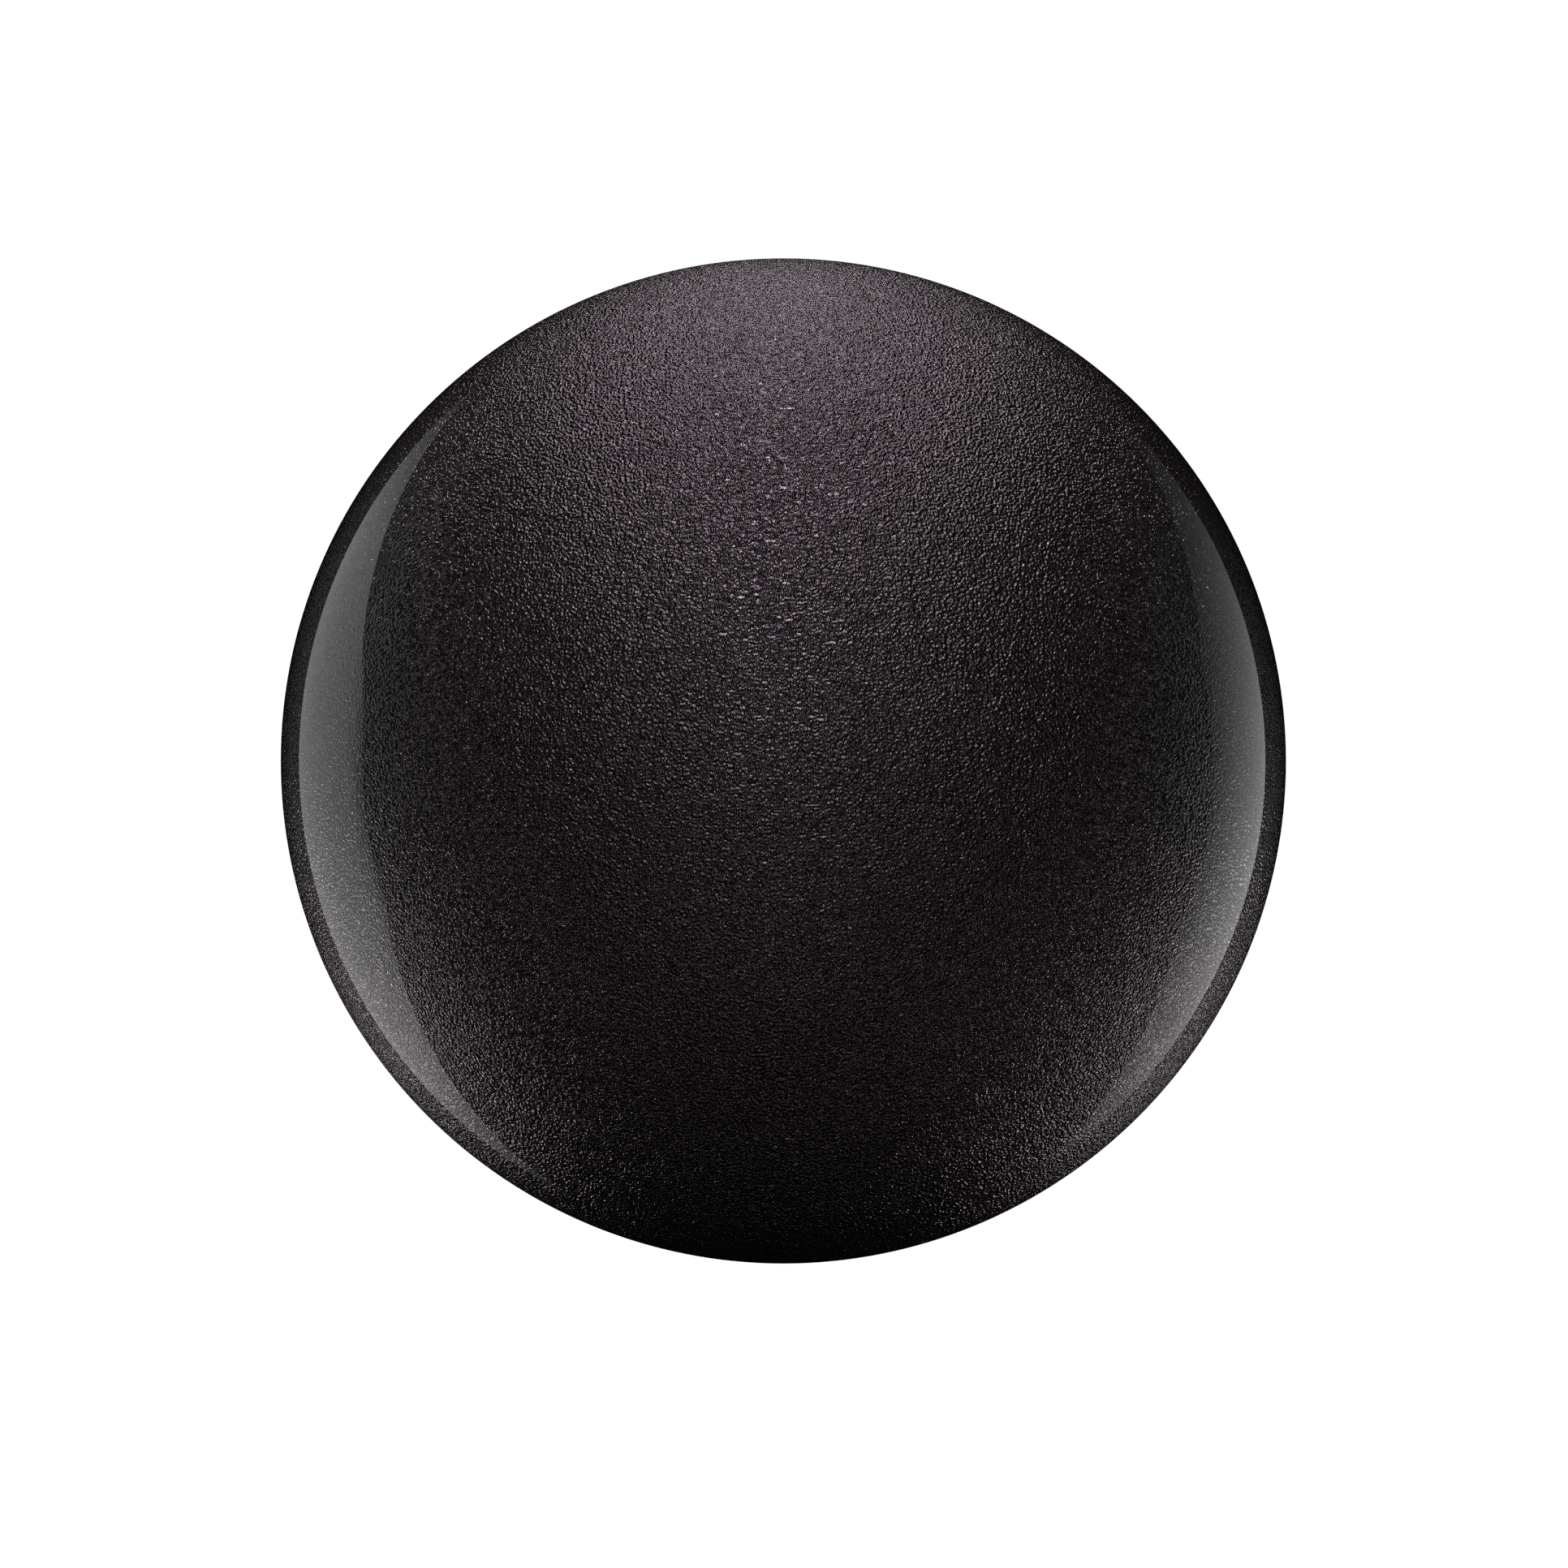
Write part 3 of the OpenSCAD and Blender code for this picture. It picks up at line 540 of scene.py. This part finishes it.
def turned_metal(name, tint, roughness, ring_pitch, depth):
    """Metal turned on a lathe: fine rings round the Z axis, with a slow change of sheen."""
    material, tree, shader, place = new_material(name, tint, roughness, metallic=1.0)
    rings = add_node(tree, "ShaderNodeTexWave", {
        "Vector": place, "Scale": RING_PITCH / ring_pitch, "Distortion": 0.6, "Detail": 2.0,
        "Detail Scale": 2.0}, wave_type="RINGS", rings_direction="Z").outputs["Fac"]
    wear = noise(tree, place, 2.5 * MM, detail=3.0)
    tree.links.new(tinted(tree, wear, tint, dark=0.94), shader.inputs["Base Color"])
    tree.links.new(vary(tree, wear, roughness - 0.02, roughness + 0.03), shader.inputs["Roughness"])
    tree.links.new(bump(tree, rings, depth), shader.inputs["Normal"])
    return material


def plated_metal(name, tint, roughness, speckle=0.5 * MM):
    """Plated metal: smooth, with a faint speckle in its colour and sheen."""
    material, tree, shader, place = new_material(name, tint, roughness, metallic=1.0)
    spots = noise(tree, place, speckle, detail=3.0, roughness=0.6)
    tree.links.new(tinted(tree, spots, tint, dark=0.9), shader.inputs["Base Color"])
    tree.links.new(vary(tree, spots, roughness - 0.03, roughness + 0.04), shader.inputs["Roughness"])
    tree.links.new(bump(tree, spots, 0.001 * MM), shader.inputs["Normal"])
    return material


def sintered_bronze(name, tint):
    """Sintered bronze: dull, grainy, and pitted with open pores. Its colour carries painted shade,
    darker in the pits of the pores.
    """
    material, tree, shader, place = new_material(name, tint, 0.45, metallic=1.0)
    pores = add_node(tree, "ShaderNodeTexVoronoi", {
        "Vector": place, "Scale": 1 / PORE_PITCH}).outputs["Distance"]
    # painted shade: the colour is darker in the pores, where the bump makes its pits
    tree.links.new(tinted(tree, pores, tint, dark=0.55), shader.inputs["Base Color"])
    tree.links.new(bump(tree, pores, 0.01 * MM), shader.inputs["Normal"])
    return material


def numbered(name, count):
    """The names of like CAD nodes, counted from 1."""
    return [f"{name}_{i + 1}" for i in range(count)]


def dress(material, *names):
    """Gives CAD nodes a finish, keeping their own meshes."""
    for name in names:
        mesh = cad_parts[name].data
        mesh.materials.clear()
        mesh.materials.append(material)


# ---------------------------------------------------------------- operators


class DETACHER_OT_grip(bpy.types.Operator):
    """Build the domed grip over its CAD node, with the bosses and the web inside it"""

    bl_idname = "detacher.grip"
    bl_label = "Dome grip"

    def execute(self, context):
        dome = context.scene.detacher_grip
        plastic = grained_plastic("grip plastic", dome.tint, dome.cast, dome.grain_width,
                                  dome.grain_depth)
        revolve = revolve_tree()
        shell = grow("grip_shell", dome_tree(revolve), Radius=dome.radius, Crown=dome.crown,
                     Rim=dome.rim, Skirt=dome.skirt, Wall=dome.wall, Edge=dome.edge, Steps=DOME_STEPS,
                     Material=plastic)
        finish_piece(shell, "grip", "grip_plastic", "dome_cover")
        web = context.scene.detacher_frame
        inner = grow("grip_frame", frame_tree(revolve), Radius=dome.radius, Crown=dome.crown,
                     Rim=dome.rim, Wall=dome.wall, Circle=web.circle, Low=web.low, Boss=web.boss,
                     Hub=web.hub, Ring=web.ring, Spoke=web.spoke, Thick=web.thick, Deep=web.deep,
                     Spokes=web.spokes, Count=COUNT, Steps=FRAME_STEPS, Material=plastic)
        finish_piece(inner, "grip", "grip_plastic")
        return {"FINISHED"}


class DETACHER_OT_springs(bpy.types.Operator):
    """Build the return springs at the length of their CAD nodes; the real ones flatten as the grip goes
    down
    """

    bl_idname = "detacher.springs"
    bl_label = "Return springs"

    def execute(self, context):
        sizes = context.scene.detacher_springs
        steel = plated_metal("spring wire", sizes.tint, roughness=0.3, speckle=0.2 * MM)
        low, high = SPRING_LOW.z, SPRING_HIGH.z
        springs = grow("return_springs", spring_tree(), Circle=sizes.circle, Coil=sizes.coil,
                       Wire=sizes.wire, Low=low, High=high, Open_turns=sizes.open_turns,
                       Closed_turns=sizes.closed_turns, Count=COUNT, Material=steel)
        finish_piece(springs, "base", "spring_steel", *numbered("return_spring", COUNT))
        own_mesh(springs)
        return {"FINISHED"}


class DETACHER_OT_hardware(bpy.types.Operator):
    """Finish the base, the tag cup, the magnets and the small hardware"""

    bl_idname = "detacher.hardware"
    bl_label = "Base and hardware"

    def execute(self, context):
        magnets = sum(1 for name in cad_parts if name.startswith("radial_magnet_"))
        dress(satin_plastic("base plastic", (0.0045, 0.005, 0.005), roughness=0.42), "base_housing")
        dress(satin_plastic("carrier nylon", (0.06, 0.065, 0.07), roughness=0.5), "magnet_carrier")
        dress(moulded_rubber("foot rubber", (0.012, 0.0135, 0.013)), "foot_ring")
        dress(moulded_rubber("stop rubber", (0.03, 0.03, 0.03)), "bump_ring")
        dress(turned_metal("cup stainless", (0.62, 0.61, 0.59), roughness=0.26, ring_pitch=0.12 * MM,
                           depth=0.004 * MM), "nest_cup")
        dress(turned_metal("soft iron", (0.56, 0.56, 0.58), roughness=0.34, ring_pitch=0.16 * MM,
                           depth=0.005 * MM), "yoke_cup", "pole_piece")
        dress(turned_metal("retainer aluminium", (0.78, 0.79, 0.80), roughness=0.36,
                           ring_pitch=0.14 * MM, depth=0.004 * MM), "magnet_retainer")
        dress(plated_metal("zinc plate", (0.60, 0.62, 0.65), roughness=0.3),
              "nest_screws", "dome_screws", "yoke_screw", "retainer_screws")
        dress(plated_metal("ground steel", (0.64, 0.64, 0.66), roughness=0.16),
              *numbered("guide_pin", COUNT))
        dress(plated_metal("clip steel", (0.36, 0.37, 0.40), roughness=0.34),
              *numbered("retaining_clip", COUNT))
        dress(plated_metal("nickel plate", (0.66, 0.63, 0.57), roughness=0.18, speckle=1.2 * MM),
              "back_magnet", *numbered("radial_magnet", magnets))
        dress(sintered_bronze("bush bronze", (0.55, 0.36, 0.17)), *numbered("guide_bush", COUNT))
        return {"FINISHED"}


def toward(azimuth, polar):
    """A direction from its azimuth and its angle from straight up, in degrees."""
    turn, tilt = math.radians(azimuth), math.radians(polar)
    return Vector((math.sin(tilt) * math.cos(turn), math.sin(tilt) * math.sin(turn), math.cos(tilt)))


LAMPS = (
    # name, azimuth, angle from straight up, strength
    ("back top", 91, 30, 1.0),
    ("back high", 91, 45, 0.7),
    ("back upper", 91, 60, 1.5),
    ("back", 91, 75, 1.9),
    ("back right", 70, 105, 1.5),
    ("back left", 112, 105, 1.5),
    ("back low", 91, 120, 1.3),
    ("back floor", 91, 135, 0.7),
    ("left", 214, 110, 0.52),
    ("left low", 214, 125, 0.38),
    ("left floor", 214, 140, 0.18),
    ("right", 323, 110, 0.58),
    ("right low", 323, 125, 0.42),
    ("right floor", 323, 140, 0.15),
    ("top left", 180, 35, 0.5),
    ("top front left", 214, 40, 0.16),
    ("top front right", 323, 40, 0.35),
    ("top right", 0, 35, 0.23),
    ("front", 270, 65, 0.3),
)


def bare_material(name):
    """A material with an empty tree. Returns both."""
    material = bpy.data.materials.new(name)
    material.use_nodes = True
    material.node_tree.nodes.clear()
    return material, material.node_tree


def lamp(name, azimuth, polar, strength):
    """A distant lamp too small to show in the lacquer, given by where the object sees it."""
    light = bpy.data.lights.new(name, "SUN")
    light.energy = strength
    light.color = LAMP_COLOUR
    light.angle = 0.0
    holder = bpy.data.objects.new(name, light)
    bpy.context.scene.collection.objects.link(holder)
    holder.rotation_mode = "QUATERNION"
    holder.rotation_quaternion = toward(azimuth, polar).to_track_quat("Z", "Y")


def card(name, near, far, half_near, half_far, turn, strength, reach, fade, lean=0.0):
    """A glowing card at floor level beside the object, which the camera doesn't see directly.

    turn is the card's direction from the axis, in degrees. Its inner edge is an arc with the radius
    near, half_near degrees to each side, and its outer edge is straight, at the distance far, half_far
    metres to each side. The glow is halved at the distance reach. Towards the sides it fades out
    between two sines of the angle from turn, given as fade, and lean makes it brighter on the right
    as seen from the axis."""
    bend = math.radians(half_near)
    sweep = [-bend + 2 * bend * i / CARD_STEPS for i in range(CARD_STEPS + 1)]
    rim = [(near * math.cos(angle), near * math.sin(angle)) for angle in sweep]
    edge = [(far, -half_far + 2 * half_far * i / CARD_STEPS) for i in range(CARD_STEPS + 1)]
    mesh = bpy.data.meshes.new(name)
    mesh.from_pydata(
        [(x, y, 0.0) for x, y in rim + edge], [],
        [(i, i + CARD_STEPS + 1, i + CARD_STEPS + 2, i + 1) for i in range(CARD_STEPS)])
    mesh.transform(Matrix.Rotation(math.radians(turn), 4, "Z"))
    board = bpy.data.objects.new(name, mesh)
    bpy.context.scene.collection.objects.link(board)
    material, tree = bare_material(name)
    place = tree.nodes.new("ShaderNodeTexCoord").outputs["Object"]
    distance = add_node(tree, "ShaderNodeVectorMath", {0: place}, operation="LENGTH").outputs["Value"]
    left = (-math.sin(math.radians(turn)), math.cos(math.radians(turn)), 0.0)
    across = add_node(tree, "ShaderNodeVectorMath", {0: place, 1: left},
                      operation="DOT_PRODUCT").outputs["Value"]
    aside = sums(tree, "DIVIDE", across, distance)
    sides = add_node(tree, "ShaderNodeMapRange", {
        "Value": sums(tree, "ABSOLUTE", aside), "From Min": fade[0], "From Max": fade[1], "To Min": 1.0,
        "To Max": 0.0}, interpolation_type="SMOOTHSTEP").outputs[0]
    fall = sums(tree, "ADD", sums(tree, "POWER", sums(tree, "DIVIDE", distance, reach), 2.0), 1.0)
    leaning = sums(tree, "MULTIPLY_ADD", aside, -lean, 1.0)
    level = sums(tree, "MULTIPLY", leaning, sums(tree, "MULTIPLY", sides, strength))
    glow = add_node(tree, "ShaderNodeEmission", {
        "Color": (1.0, 1.0, 1.0, 1.0), "Strength": sums(tree, "DIVIDE", level, fall)})
    tree.links.new(glow.outputs[0], tree.nodes.new("ShaderNodeOutputMaterial").inputs[0])
    mesh.materials.append(material)
    board.visible_camera = False
    board.visible_shadow = False


def soft_disc(name, radius, height, power):
    """A round soft light that shines up from under the object, where the dome can't mirror it."""
    light = bpy.data.lights.new(name, "AREA")
    light.shape = "DISK"
    light.size = 2 * radius
    light.energy = power
    holder = bpy.data.objects.new(name, light)
    bpy.context.scene.collection.objects.link(holder)
    holder.location.z = height
    holder.rotation_euler.x = math.pi
    holder.visible_camera = False


def dark_world(backdrop):
    """A studio world without light of its own, with a plain pale backdrop for the camera only."""
    world = bpy.data.worlds.new("studio")
    world.use_nodes = True
    tree = world.node_tree
    tree.nodes.clear()
    dim = add_node(tree, "ShaderNodeBackground", {"Color": (1.0, 1.0, 1.0, 1.0), "Strength": 0.0})
    plain = add_node(tree, "ShaderNodeBackground", {
        "Color": (*backdrop, 1.0), "Strength": PALE_GLOW})
    seen = tree.nodes.new("ShaderNodeLightPath").outputs["Is Camera Ray"]
    mix = add_node(tree, "ShaderNodeMixShader", {0: seen, 1: dim.outputs[0], 2: plain.outputs[0]})
    tree.links.new(mix.outputs[0], tree.nodes.new("ShaderNodeOutputWorld").inputs[0])
    return world


def pale_floor(size, tint):
    """A square floor that glows evenly, seen only by the camera and only from above."""
    half = size / 2
    mesh = bpy.data.meshes.new("floor")
    mesh.from_pydata([(-half, -half, 0), (half, -half, 0), (half, half, 0), (-half, half, 0)], [],
                     [(0, 1, 2, 3)])
    floor = bpy.data.objects.new("floor", mesh)
    bpy.context.scene.collection.objects.link(floor)
    material, tree = bare_material("pale floor")
    glow = add_node(tree, "ShaderNodeEmission", {"Color": (*tint, 1.0), "Strength": PALE_GLOW})
    clear = tree.nodes.new("ShaderNodeBsdfTransparent")
    side = tree.nodes.new("ShaderNodeNewGeometry").outputs["Backfacing"]
    mix = add_node(tree, "ShaderNodeMixShader", {0: side, 1: glow.outputs[0], 2: clear.outputs[0]})
    tree.links.new(mix.outputs[0], tree.nodes.new("ShaderNodeOutputMaterial").inputs[0])
    mesh.materials.append(material)
    floor.visible_glossy = False
    floor.visible_diffuse = False
    floor.visible_shadow = False


def view_camera(lens, aside, back, height):
    """A camera that looks straight down from a height, and stands a little off the axis."""
    camera = bpy.data.objects.new("camera", bpy.data.cameras.new("camera"))
    bpy.context.scene.collection.objects.link(camera)
    camera.data.lens = lens
    camera.data.clip_start = 0.01
    camera.data.clip_end = 20.0
    camera.location = (aside, -back, height)
    bpy.context.scene.camera = camera


class DETACHER_OT_stage(bpy.types.Operator):
    """Lay the pale floor, set the lamps and the glowing cards, and place the camera"""

    bl_idname = "detacher.stage"
    bl_label = "Stage"

    def execute(self, context):
        scene = context.scene
        stage = scene.detacher_stage
        scene.view_settings.view_transform = "Standard"
        pale_floor(stage.floor, stage.tint)
        scene.world = dark_world(stage.tint)
        scene.cycles.use_denoising = False  # a denoiser would smear the grain
        scene.cycles.sample_clamp_direct = GLINT_LIMIT
        for name, azimuth, polar, strength in LAMPS:
            lamp(name, azimuth, polar, strength)
        soft_disc("under light", radius=38 * MM, height=-26 * MM, power=0.006)
        card("left card", near=0.067, far=1.0, half_near=58, half_far=0.22, turn=186, strength=0.90,
             reach=0.42, fade=(0.5, 0.88))
        card("right card", near=0.070, far=0.35, half_near=55, half_far=0.12, turn=-5, strength=2.1,
             reach=0.09, fade=(0.05, 0.85), lean=0.8)
        view_camera(stage.lens, CAMERA_ASIDE, stage.offset, stage.height)
        return {"FINISHED"}


class DETACHER_PT_panel(bpy.types.Panel):
    """Lists the settings and the steps of the build"""

    bl_idname = "DETACHER_PT_panel"
    bl_label = "Tag detacher"
    bl_space_type = "VIEW_3D"
    bl_region_type = "UI"
    bl_category = "Detacher"

    def draw(self, context):
        for operator, settings in ((DETACHER_OT_grip, "detacher_grip"),
                                   (None, "detacher_frame"),
                                   (DETACHER_OT_springs, "detacher_springs"),
                                   (DETACHER_OT_hardware, None),
                                   (DETACHER_OT_stage, "detacher_stage")):
            box = self.layout.box()
            if settings:
                group = getattr(context.scene, settings)
                for name in group.bl_rna.properties.keys():
                    if name not in ("rna_type", "name"):
                        box.prop(group, name)
            if operator:
                box.operator(operator.bl_idname)


CLASSES = (
    DETACHER_PG_grip, DETACHER_PG_frame, DETACHER_PG_springs, DETACHER_PG_stage,
    DETACHER_OT_grip, DETACHER_OT_springs, DETACHER_OT_hardware, DETACHER_OT_stage,
    DETACHER_PT_panel,
)


def register():
    """Adds the classes, and the settings that hang on the scene."""
    for cls in CLASSES:
        bpy.utils.register_class(cls)
    bpy.types.Scene.detacher_grip = bpy.props.PointerProperty(type=DETACHER_PG_grip)
    bpy.types.Scene.detacher_frame = bpy.props.PointerProperty(type=DETACHER_PG_frame)
    bpy.types.Scene.detacher_springs = bpy.props.PointerProperty(type=DETACHER_PG_springs)
    bpy.types.Scene.detacher_stage = bpy.props.PointerProperty(type=DETACHER_PG_stage)


def unregister():
    """Takes away what register adds."""
    del bpy.types.Scene.detacher_stage
    del bpy.types.Scene.detacher_springs
    del bpy.types.Scene.detacher_frame
    del bpy.types.Scene.detacher_grip
    for cls in reversed(CLASSES):
        bpy.utils.unregister_class(cls)


def main():
    """Registers the classes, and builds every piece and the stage."""
    register()
    bpy.ops.detacher.grip()
    bpy.ops.detacher.springs()
    bpy.ops.detacher.hardware()
    bpy.ops.detacher.stage()


if __name__ == "__main__":
    main()
